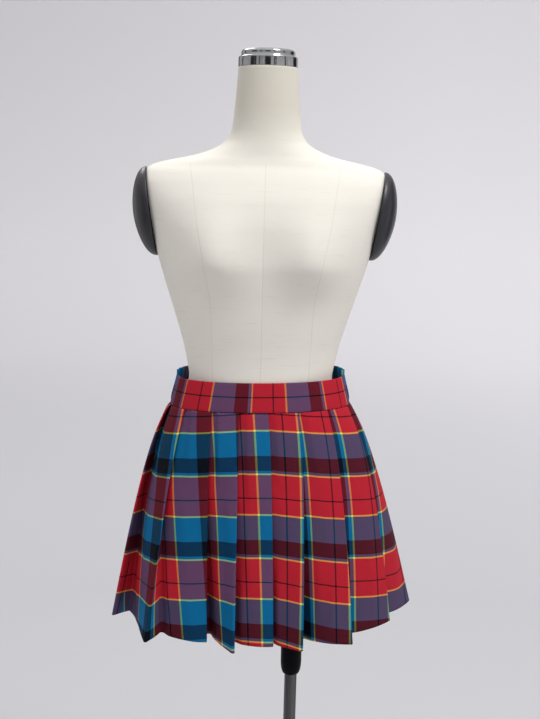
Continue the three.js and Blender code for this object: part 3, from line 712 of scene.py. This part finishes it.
def ringed_piece(name, x, y, z, turned_over=False):
    """A piece from a grid of points in millimetres whose columns close on themselves."""
    faces = ring_faces(*x.shape)
    if turned_over:
        faces = faces[:, ::-1]
    return grid_object(name, np.stack([x, y, z], axis=-1).reshape(-1, 3) * MM, faces)


def band_half(name, start, end, columns, height, weft_at_waist, gathers=None):
    """A closed solid band: its section carried along the bearing, with both cut ends filled in."""
    out, up = band_profile(height)
    part = np.linspace(0, 1, columns)
    bearing = mix(start, end, part)[:, None]
    z = WAIST - BAND_HEIGHT + up[None, :] + 0 * bearing
    pull = 0 if gathers is None else gathers(part[:, None], z)
    x, y = outline(band_outline(z), bearing, out[None, :] + pull)
    points = np.stack([x, y, z + HANG_SLOPE * x], axis=-1)
    rim = out.size
    number = np.arange(columns * rim).reshape(columns, rim)
    faces = [ring_faces(columns, rim)]
    for ring, is_last in ((0, False), (columns - 1, True)):
        forth = number[ring, :rim // 2]
        back = number[ring, ::-1][:rim // 2]
        corners = [forth[:-1], back[:-1], back[1:], forth[1:]]
        if is_last:
            corners = [forth[:-1], forth[1:], back[1:], back[:-1]]
        faces.append(np.stack(corners, axis=1))
    run = run_along(x[:, 0], y[:, 0])[:, None]
    warp = BAND_THREAD_AT_MIDDLE + (run - run[-1] / 2) / BAND_SETT_UNIT
    weft = weft_at_waist + (WAIST - z) / SETT_UNIT
    uv = np.stack([np.broadcast_to(warp, weft.shape) / WARP_REPEAT, weft / WEFT_REPEAT], axis=-1)
    return grid_object(name, points.reshape(-1, 3) * MM, np.concatenate(faces), uv.reshape(-1, 2))


def elastic_gathers(part, z):
    """Upright waves of uneven size and spacing that fade towards the seam at the bottom."""
    wander = 0.25 * np.sin(2 * np.pi * 3.1 * part + 0.7) + 0.15 * np.sin(2 * np.pi * 7.3 * part)
    wave = 0.5 - 0.5 * np.cos(2 * np.pi * (GATHER_COUNT * part + wander * np.sin(np.pi * part)))
    uneven = GATHER_UNEVENNESS * np.sin(2 * np.pi * 5.2 * part + 1.3)
    faded_at = WAIST - BAND_HEIGHT
    fade = smooth_step(faded_at, faded_at + BAND_HEIGHT * GATHER_FADE, z)
    return GATHER_DEPTH * wave * (1 - GATHER_UNEVENNESS + uneven) * fade


side_bearing = math.pi / 2 - SEAM_GAP / 2 / SEAM_LINE["width"]
band_cloth = plaid_material("band_cloth")
front_band = band_half(
    "waistband_front_cloth", -side_bearing, side_bearing, FRONT_BAND_COLUMNS,
    BAND_HEIGHT, FRONT_BAND_WEFT_AT_WAIST)
back_band = band_half(
    "waistband_back_cloth", math.pi - side_bearing, math.pi + side_bearing, BACK_BAND_COLUMNS,
    BAND_HEIGHT + BACK_BAND_RISE, BACK_BAND_WEFT_AT_WAIST, elastic_gathers)
for band, flat, held, cad_name in (
        (front_band, (0.372, 0.047), "stretched", "waistband_front"),
        (back_band, (0.40, 0.055), "gathered", "waistband_back")):
    band.data.materials.append(band_cloth)
    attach(band, "root")
    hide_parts(cad_name)

# Dress form
# A limbless torso of hard foam under a fitted slubby linen cover, sewn from long panels. Its
# seams run down the middle of the front and back, down the princess lines and down the sides.
BUST = dict(height=1186, side=80, depth=24, width=46, above=62, below=44)
CAP_BOTTOM_HALF, CAP_BOTTOM_Z = 166.0, 1187.0
CAP_TOP_HALF, CAP_TOP_Z = 186.0, 1325.0
FORM_ROWS = 260
FORM_COLUMNS = 288
FORM_END_RINGS = 6
FORM_END_HOLE = 0.02
# Heights in metres over which painted shade darkens the linen on the neck
NECK_SHADE_HEIGHTS = (1.34, 1.42)
SEAM_GROOVE = (0.4, 1.6)
LINEN_THREADS = (900, 900, 1500)
LINEN_SLUBS = (28, 28, 420)

# Heights of the torso's outlines from the bottom up, and each outline's half width, depth in front,
# depth behind, and power
FORM_TABLE = np.array([
    [695, 150, 96, 108, 2.3], [712, 158, 101, 117, 2.3], [800, 160, 106, 122, 2.25],
    [870, 152, 105, 118, 2.2], [912, 140, 102, 110, 2.15], [955, 125, 94, 100, 2.1],
    [980, 116, 88, 95, 2.1], [1000, 114, 85.5, 92, 2.1], [1018, 116.6, 86, 91, 2.1],
    [1043, 122, 88, 91, 2.1], [1076, 131, 92, 93, 2.15], [1117, 144, 97, 97, 2.2],
    [1152, 155, 102, 100, 2.3], [1181, 163.5, 105, 102, 2.4], [1230, 178, 103, 103, 2.5],
    [1270, 190, 94, 99, 2.5], [1300, 195, 80, 88, 2.4], [1318, 190, 69, 76, 2.2],
    [1329, 175, 61, 68, 2.0], [1337, 145, 58, 63, 2.0], [1344, 112, 56, 60, 2.0],
    [1356, 80, 54, 57, 2.0], [1368, 63, 52, 54, 2.0], [1385, 54.5, 50, 51, 2.0],
    [1430, 49.5, 48, 48, 2.0], [1480, 46, 46, 46, 2.0],
])
FORM_BOTTOM, FORM_TOP = FORM_TABLE[0, 0], FORM_TABLE[-1, 0]


def cap_plane(z):
    """How far out the flat sides under the shoulder caps lie at a height."""
    slope = (CAP_TOP_HALF - CAP_BOTTOM_HALF) / (CAP_TOP_Z - CAP_BOTTOM_Z)
    return CAP_BOTTOM_HALF + (z - CAP_BOTTOM_Z) * slope


def form_skin(z, bearing):
    """The torso's outline at a height, with two bell-shaped swells added on the front, and its
    sides cut flat where the shoulder caps sit."""
    half, front, back, power = [
        smooth_table(FORM_TABLE[:, 0], FORM_TABLE[:, column], z) for column in (1, 2, 3, 4)]
    line = dict(width=half, front=front, back=back, front_power=power, back_power=power, shift=0)
    x, y = outline(line, bearing)
    reach = np.where(z > BUST["height"], BUST["above"], BUST["below"])
    height = (z - BUST["height"]) / reach
    sideways = (np.abs(x) - BUST["side"]) / BUST["width"]
    facing = np.clip(-y / front, 0, 1)
    swell = BUST["depth"] * np.exp(-height**2 - sideways**2) * facing
    return np.clip(x, -cap_plane(z), cap_plane(z)), y - swell


z = np.linspace(FORM_BOTTOM, FORM_TOP, FORM_ROWS)[:, None]
bearing = np.linspace(0, 2 * np.pi, FORM_COLUMNS, endpoint=False)[None, :]
x, y = form_skin(z, bearing)
shrink = np.linspace(FORM_END_HOLE, 1, FORM_END_RINGS + 1)[:-1, None]
level = np.ones((FORM_END_RINGS, FORM_COLUMNS))
x = np.concatenate([x[:1] * shrink, x, x[-1:] * shrink[::-1]])
y = np.concatenate([y[:1] * shrink, y, y[-1:] * shrink[::-1]])
z = np.concatenate([FORM_BOTTOM * level, z + 0 * bearing, FORM_TOP * level])
form = ringed_piece("form_linen", x, y, z)

# Each seam is a curve of sideways place by height. The points keep how far they are to one side
# of the middle seams, of the princess seams and of the side seams, or a far number past their ends.
PRINCESS_HEIGHTS = [695, 900, 1000, 1060, 1110, 1186, 1240, 1300, 1332]
PRINCESS_PLACES = [92, 84, 74, 76, 78, 90, 101, 110, 116]
PRINCESS_TOP = 1332
SIDE_SEAM_TOP = CAP_BOTTOM_Z - 12
NO_SEAM = 99
princess = smooth_table(PRINCESS_HEIGHTS, PRINCESS_PLACES, z)
offsets = dict(
    from_middle=np.where((y < 0) & (z > PRINCESS_TOP), NO_SEAM, x),
    from_princess=np.where(z > PRINCESS_TOP, NO_SEAM, np.abs(x) - princess),
    from_side=np.where(z > SIDE_SEAM_TOP, NO_SEAM, y),
)
for name, offset in offsets.items():
    layer = form.data.attributes.new(name, "FLOAT", "POINT")
    layer.data.foreach_set("value", offset.astype(np.float32).ravel())

linen, tree, shader = new_material("form_linen")
place = object_place(tree)
threads = noise(tree, place, LINEN_THREADS, 2.0)
slub = ranged(tree, noise(tree, place, LINEN_SLUBS, 3.0), 0.6, 0.78)
stain = noise(tree, place, 7.0, 3.0)
cream = blended(tree, stain, linear(228, 224, 213), linear(237, 233, 222))
height = node(tree, "SeparateXYZ", in_0=place).outputs[2]
# Painted shade: from 1.34 m up to 1.42 m the linen turns to a darker, greyer cream, so the neck is shaded
# in its colour
painted_neck_shade = ranged(tree, height, *NECK_SHADE_HEIGHTS)
cover = blended(tree, painted_neck_shade, cream, linear(209, 204, 191))
speck = blended(tree, maths(tree, "MULTIPLY", slub, 0.25), cover, linear(205, 192, 168))
distances = [
    maths(tree, "ABSOLUTE", node(tree, "Attribute", attribute_name=name).outputs["Fac"])
    for name in offsets]
distance = maths(tree, "MINIMUM", maths(tree, "MINIMUM", distances[0], distances[1]), distances[2])
groove = ranged(tree, distance, *SEAM_GROOVE, 1.0, 0.0, interpolation_type="SMOOTHSTEP")
sewn = blended(tree, maths(tree, "MULTIPLY", groove, 0.08), speck, linear(150, 143, 130))
relief = maths(tree, "MULTIPLY_ADD", threads, 0.25, maths(tree, "MULTIPLY", slub, 0.4))
relief = maths(tree, "MULTIPLY_ADD", groove, -0.6, relief)
fill(tree, shader, dict(
    Base_Color=sewn, Roughness=0.9, Specular_IOR_Level=0.2,
    Normal=raised(tree, relief, 0.45, 0.0005)))
form.data.materials.append(linen)
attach(form, "root")
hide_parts("form_body")

# Neck cap
# A chromed ring with upright facets and a low domed lid, pressed onto the top of the neck.
NECK_RADIUS = 46.5
NECK_RING = 16.0
NECK_LID = 12.0
NECK_LID_RADIUS = 42.0
NECK_LID_ROUND = 5.0
NECK_LID_EDGE_DROP = 1.6
NECK_FACETS = 28
NECK_RIB_DEPTH = 0.4
NECK_SEGMENTS = 448
# The ring's side from its lower edge up, as steps from its radius and its lower edge
NECK_RING_SIDE = [
    [-0.6, 0.0], [-0.1, 0.2], [0.0, 0.8], [0.0, 8.0], [0.0, NECK_RING - 2.2],
    [-0.4, NECK_RING - 1.0], [-1.4, NECK_RING - 0.2], [-2.6, NECK_RING],
]
AXIS = 0.01


def turned_piece(name, profile, segments, centre=(0.0, 0.0), flutes=None):
    """A turned solid: a profile of radius and height carried once round the upright axis. The
    flutes function, if given, changes the radius by profile place and bearing. A profile starts
    and ends at the radius AXIS, which is nearly a point, so the solid is closed."""
    profile = np.array(profile, float)
    bearing = np.linspace(0, 2 * np.pi, segments, endpoint=False)[None, :]
    radius = profile[:, :1] + 0 * bearing
    if flutes is not None:
        radius = radius + flutes(profile, bearing)
    x = centre[0] + radius * np.sin(bearing)
    y = centre[1] - radius * np.cos(bearing)
    return ringed_piece(name, x, y, profile[:, 1:] + 0 * bearing)


def facets(profile, bearing):
    """Upright ribs all round the ring: the sides of a prism, each rounded outwards a little."""
    on_ring = smooth_step(NECK_LID_RADIUS + 2, NECK_RADIUS - 0.5, profile[:, :1])
    angle = np.mod(bearing, 2 * np.pi / NECK_FACETS) - np.pi / NECK_FACETS
    prism = NECK_RADIUS * (np.cos(np.pi / NECK_FACETS) / np.cos(angle) - 1)
    return on_ring * (prism - NECK_RIB_DEPTH * (angle * NECK_FACETS / np.pi) ** 2)


neck_start = FORM_TOP + SEAM_GAP
ring_top = neck_start + NECK_RING
lid_top = ring_top + NECK_LID
curve = quarter_turn(9)
lid_edge = np.stack([NECK_LID_RADIUS - NECK_LID_ROUND * (1 - np.cos(curve)),
                     lid_top - NECK_LID_EDGE_DROP - NECK_LID_ROUND * (1 - np.sin(curve))], axis=1)
ring_side = np.array(NECK_RING_SIDE) + [NECK_RADIUS, neck_start]
neck_profile = [
    [AXIS, neck_start], *ring_side.tolist(),
    [NECK_LID_RADIUS + 0.6, ring_top], [NECK_LID_RADIUS, ring_top + 0.5],
    *lid_edge.tolist(), [NECK_LID_RADIUS - 14, lid_top - 0.6],
    [NECK_LID_RADIUS - 28, lid_top - 0.1], [AXIS, lid_top],
]
neck_cap = turned_piece("neck_cap_chrome", neck_profile, NECK_SEGMENTS, flutes=facets)


# What hands and dust leave on metal and moulded plastic: a noise of spots carries the tint from
# dark to light and the roughness from smooth to rough, and a second one, of grain, is the relief
handled_group, handled_in, handled_out = node_group(
    "handled_surface",
    [("Place", "Vector"), ("Spots", "Vector"), ("Spot detail", "Float"), ("Dark", "Color"),
     ("Light", "Color"), ("Smooth", "Float"), ("Rough", "Float"), ("Grain", "Vector"),
     ("Grain detail", "Float"), ("Bump strength", "Float"), ("Bump height", "Float")],
    [("Tint", "Color"), ("Roughness", "Float"), ("Normal", "Vector")])
given = handled_in.outputs
spot_map, grain_map = [
    node(handled_group, "Mapping", in_Vector=given["Place"], in_Scale=given[label]).outputs[0]
    for label in ("Spots", "Grain")]
touched = noise(handled_group, spot_map, 1.0, given["Spot detail"])
grain = noise(handled_group, grain_map, 1.0, given["Grain detail"])
fill(handled_group, handled_out, dict(
    Tint=blended(handled_group, touched, given["Dark"], given["Light"]),
    Roughness=ranged(handled_group, touched, 0.0, 1.0, given["Smooth"], given["Rough"]),
    Normal=raised(handled_group, grain, given["Bump strength"], given["Bump height"])))


def handled_finish(name, dark, light, surface, **settings):
    """A metal or moulded plastic with its own surface of hand marks and dust, given by the group's input
    names, and with its relief only where it has a grain."""
    material, tree, shader = new_material(name)
    finish = node(
        tree, "Group", node_tree=handled_group, in_Place=object_place(tree),
        in_Dark=linear(*dark), in_Light=linear(*light))
    fill(tree, finish, surface)
    tint, roughness, normal = finish.outputs[:3]
    fill(tree, shader, dict(Base_Color=tint, Roughness=roughness, **settings))
    if "Grain" in surface:
        fill(tree, shader, dict(Normal=normal))
    return material


chrome = handled_finish(
    "cap_chrome", (148, 150, 151), (184, 185, 185),
    dict(Spots=(60, 60, 60), Spot_detail=4.0, Smooth=0.06, Rough=0.2), Metallic=1.0)
neck_cap.data.materials.append(chrome)
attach(neck_cap, "root")
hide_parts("neck_cap")

# Shoulder caps
# Moulded black domes, semi-gloss, that close the flat armhole sides of the form.
CAP_DEPTH_RATIO = 0.8
CAP_DOME = 30.0
CAP_RIM = 1.5
CAP_ROUND = 1.15
CAP_RINGS = 28
CAP_COLUMNS = 120

black_plastic = handled_finish(
    "cap_black", (30, 31, 36), (42, 43, 48),
    dict(Spots=(22, 22, 22), Spot_detail=4.0, Smooth=0.3, Rough=0.46,
         Grain=(900, 900, 900), Grain_detail=2.0, Bump_strength=0.15, Bump_height=0.0002))

cap_rise = CAP_TOP_Z - CAP_BOTTOM_Z
cap_lean = math.atan((CAP_TOP_HALF - CAP_BOTTOM_HALF) / cap_rise)
cap_radius = math.hypot(CAP_TOP_HALF - CAP_BOTTOM_HALF, cap_rise) / 2
cap_middle = (CAP_TOP_Z + CAP_BOTTOM_Z) / 2
angle = quarter_turn(CAP_RINGS)[:, None]
bearing = np.linspace(0, 2 * np.pi, CAP_COLUMNS, endpoint=False)[None, :]
back_radius = [[AXIS], [cap_radius * 0.5], [cap_radius - 0.5], [cap_radius]]
back_height = [[0.0], [0.0], [0.0], [0.4]]
front_radius = cap_radius * np.maximum(np.cos(angle), 0) ** CAP_ROUND + AXIS
dome_radius = np.concatenate([back_radius, front_radius])
dome_height = np.concatenate([back_height, mix(CAP_RIM, CAP_DOME, np.sin(angle))])
upward = dome_radius * np.cos(bearing)
forward = dome_radius * np.sin(bearing) * CAP_DEPTH_RATIO
outward = dome_height + 0 * bearing
x = cap_plane(cap_middle) + SEAM_GAP + outward * math.cos(cap_lean) + upward * math.sin(cap_lean)
z = cap_middle + upward * math.cos(cap_lean) - outward * math.sin(cap_lean)
for name, side in (("shoulder_cap_left", -1), ("shoulder_cap_right", 1)):
    cap = ringed_piece(name + "_plastic", side * x, forward, z, turned_over=side > 0)
    cap.data.materials.append(black_plastic)
    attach(cap, "root")
    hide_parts(name)

# Stand
# A black rounded socket under the form, a brushed steel pole and a heavy round base plate.
STAND_SIDE = 62.0
SOCKET_RADIUS = 17.0
SOCKET_FLAT = 11.0
SOCKET_BOTTOM = 504.0
SOCKET_ROUND = 22.0
SOCKET_EDGE = 0.4
POLE_RADIUS = 10.0
POLE_EDGE = 0.3
PLATE_RADIUS = 165.0
PLATE_THICKNESS = 8.0
PLATE_BEVEL = 2.0

socket_black = handled_finish(
    "socket_black", (2, 3, 8), (6, 7, 13),
    dict(Spots=(80, 80, 80), Spot_detail=4.0, Smooth=0.35, Rough=0.55), Specular_IOR_Level=0.08)
pole_steel = handled_finish(
    "pole_steel", (78, 78, 80), (126, 126, 128),
    dict(Spots=(900, 900, 14), Spot_detail=3.0, Smooth=0.3, Rough=0.5,
         Grain=(900, 900, 14), Grain_detail=3.0, Bump_strength=0.1, Bump_height=0.0002),
    Metallic=0.9)
base_metal = handled_finish(
    "base_metal", (62, 62, 64), (84, 84, 86),
    dict(Spots=(9, 9, 9), Spot_detail=4.0, Smooth=0.38, Rough=0.6,
         Grain=(1400, 1400, 1400), Grain_detail=2.0, Bump_strength=0.2, Bump_height=0.0003),
    Metallic=0.6)

socket_top = FORM_BOTTOM - SEAM_GAP
pole_bottom = PLATE_THICKNESS + SEAM_GAP
pole_top = SOCKET_BOTTOM - SEAM_GAP
curve = quarter_turn(12)
round_end = np.stack([mix(SOCKET_FLAT, SOCKET_RADIUS, np.sin(curve)),
                      SOCKET_BOTTOM + SOCKET_ROUND * (1 - np.cos(curve))], axis=1)
socket_profile = [
    [AXIS, SOCKET_BOTTOM], *round_end.tolist(), [SOCKET_RADIUS, socket_top - SOCKET_EDGE],
    [SOCKET_RADIUS - SOCKET_EDGE, socket_top], [AXIS, socket_top],
]
pole_profile = [
    [AXIS, pole_bottom], [POLE_RADIUS - POLE_EDGE, pole_bottom], [POLE_RADIUS, pole_bottom + POLE_EDGE],
    [POLE_RADIUS, pole_top - POLE_EDGE], [POLE_RADIUS - POLE_EDGE, pole_top], [AXIS, pole_top],
]
curve = quarter_turn(5)
bevel_far = PLATE_BEVEL * (1 - np.sin(curve))
bevel_near = PLATE_BEVEL * (1 - np.cos(curve))
plate_lower_edge = np.stack([PLATE_RADIUS - bevel_far, bevel_near], axis=1)[1:]
plate_upper_edge = np.stack([PLATE_RADIUS - bevel_near, PLATE_THICKNESS - bevel_far], axis=1)
plate_profile = [
    [AXIS, 0.0], [PLATE_RADIUS - PLATE_BEVEL, 0.0], *plate_lower_edge.tolist(),
    *plate_upper_edge.tolist(), [PLATE_RADIUS - 20, PLATE_THICKNESS], [AXIS, PLATE_THICKNESS],
]
for name, profile, segments, material, slot in (
        ("stand_socket", socket_profile, 96, socket_black, "socket_black"),
        ("stand_pole", pole_profile, 96, pole_steel, "pole_steel"),
        ("stand_base", plate_profile, 192, base_metal, "base_metal")):
    piece = turned_piece(name + "_finish", profile, segments, centre=(STAND_SIDE, 0.0))
    piece.data.materials.append(material)
    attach(piece, "root")
    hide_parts(name)

# Studio
# A wide pale floor that sweeps up all round, a large soft light from the front right and above,
# a second one from behind, and a pale sky.
FLOOR_RADIUS = 7000.0
SWEEP_RADIUS = 3000.0
FLOOR_RINGS = [[AXIS, 0.0], [1500.0, 0.0], [4000.0, 0.0]]
FLOOR_EDGE = [10000.0, 5000.0]
curve = quarter_turn(16)
sweep = np.stack([FLOOR_RADIUS + SWEEP_RADIUS * np.sin(curve),
                  SWEEP_RADIUS * (1 - np.cos(curve))], axis=1)
floor_profile = [*FLOOR_RINGS, *sweep.tolist(), FLOOR_EDGE]
floor = turned_piece("studio_floor", floor_profile, 96)
floor_paper, tree, shader = new_material("studio_floor")
place = object_place(tree)
# Painted shade: the floor is grey near the stand and lightens to nearly white from 2 m to 9 m away
away = node(tree, "VectorMath", operation="LENGTH", in_0=place).outputs["Value"]
far = ranged(tree, away, 2.0, 9.0)
tint = blended(tree, far, linear(192, 192, 194), linear(250, 249, 250))
# Painted shade: the floor darkens towards the left side
sideways = node(tree, "SeparateXYZ", in_0=place).outputs[0]
shade = ranged(tree, sideways, -2.5, 1.5, 0.87, 1.04)
shaded = node(tree, "VectorMath", operation="SCALE", in_0=tint, in_3=shade).outputs[0]
fill(tree, shader, dict(Base_Color=shaded, Roughness=0.95, Specular_IOR_Level=0.1))
floor.data.materials.append(floor_paper)

# Dark cards round the stage are seen only in shiny surfaces, where they draw the chrome's edges.
# Each pair of bearings is one card's left and right edge.
CARD_DISTANCE = 2.9
CARD_FOOT = 0.01
CARD_HEIGHT = 2.6
CARD_EDGES = np.array([
    -2.9, -2.6, -2.1, -1.95, -1.3, -0.85, -0.62, -0.5, -0.22, 0.16, 0.42, 0.5, 1.15, 1.3, 1.9, 2.4])
card_foot = np.stack([CARD_DISTANCE * np.sin(CARD_EDGES), -CARD_DISTANCE * np.cos(CARD_EDGES),
                      np.full(CARD_EDGES.size, CARD_FOOT)], axis=1)
card_points = np.concatenate([card_foot, card_foot + [0, 0, CARD_HEIGHT]])
left_foot = np.arange(0, CARD_EDGES.size, 2)
right_foot = left_foot + 1
over = CARD_EDGES.size
cards = grid_object("studio_cards", card_points, np.stack(
    [left_foot, left_foot + over, right_foot + over, right_foot], axis=1))
card_black, tree, shader = new_material("studio_cards")
fill(tree, shader, dict(Base_Color=linear(20, 20, 22)))
cards.data.materials.append(card_black)
for ray in ("camera", "diffuse", "shadow", "transmission"):
    setattr(cards, "visible_" + ray, False)

LIGHT_AIM = Vector((0.0, 0.0, 0.95))
LIGHTS = [
    ("key_light", (1.35, -1.2, 3.9), 1.1, 56.0),
    ("back_light", (-1.4, 2.2, 3.6), 1.5, 34.0),
]
for name, place, size, power in LIGHTS:
    lamp_data = bpy.data.lights.new(name, "AREA")
    lamp_data.shape = "DISK"
    lamp_data.size = size
    lamp_data.energy = power
    lamp = bpy.data.objects.new(name, lamp_data)
    lamp.location = place
    lamp.rotation_mode = "QUATERNION"
    lamp.rotation_quaternion = (LIGHT_AIM - Vector(place)).to_track_quat("-Z", "Y")
    bpy.context.collection.objects.link(lamp)

# The sky is brighter overhead than near the horizon
SKY_LOW = 0.3
SKY_HIGH = 1.15
world = bpy.data.worlds.new("studio")
world.use_nodes = True
tree = world.node_tree
direction = node(tree, "TexCoord").outputs["Generated"]
height = node(tree, "SeparateXYZ", in_0=direction).outputs[2]
strength = ranged(tree, height, 0.1, 1.0, SKY_LOW, SKY_HIGH)
fill(tree, tree.nodes["Background"], dict(Color=linear(253, 252, 255), Strength=strength))
bpy.context.scene.world = world
bpy.context.scene.view_settings.view_transform = "Standard"
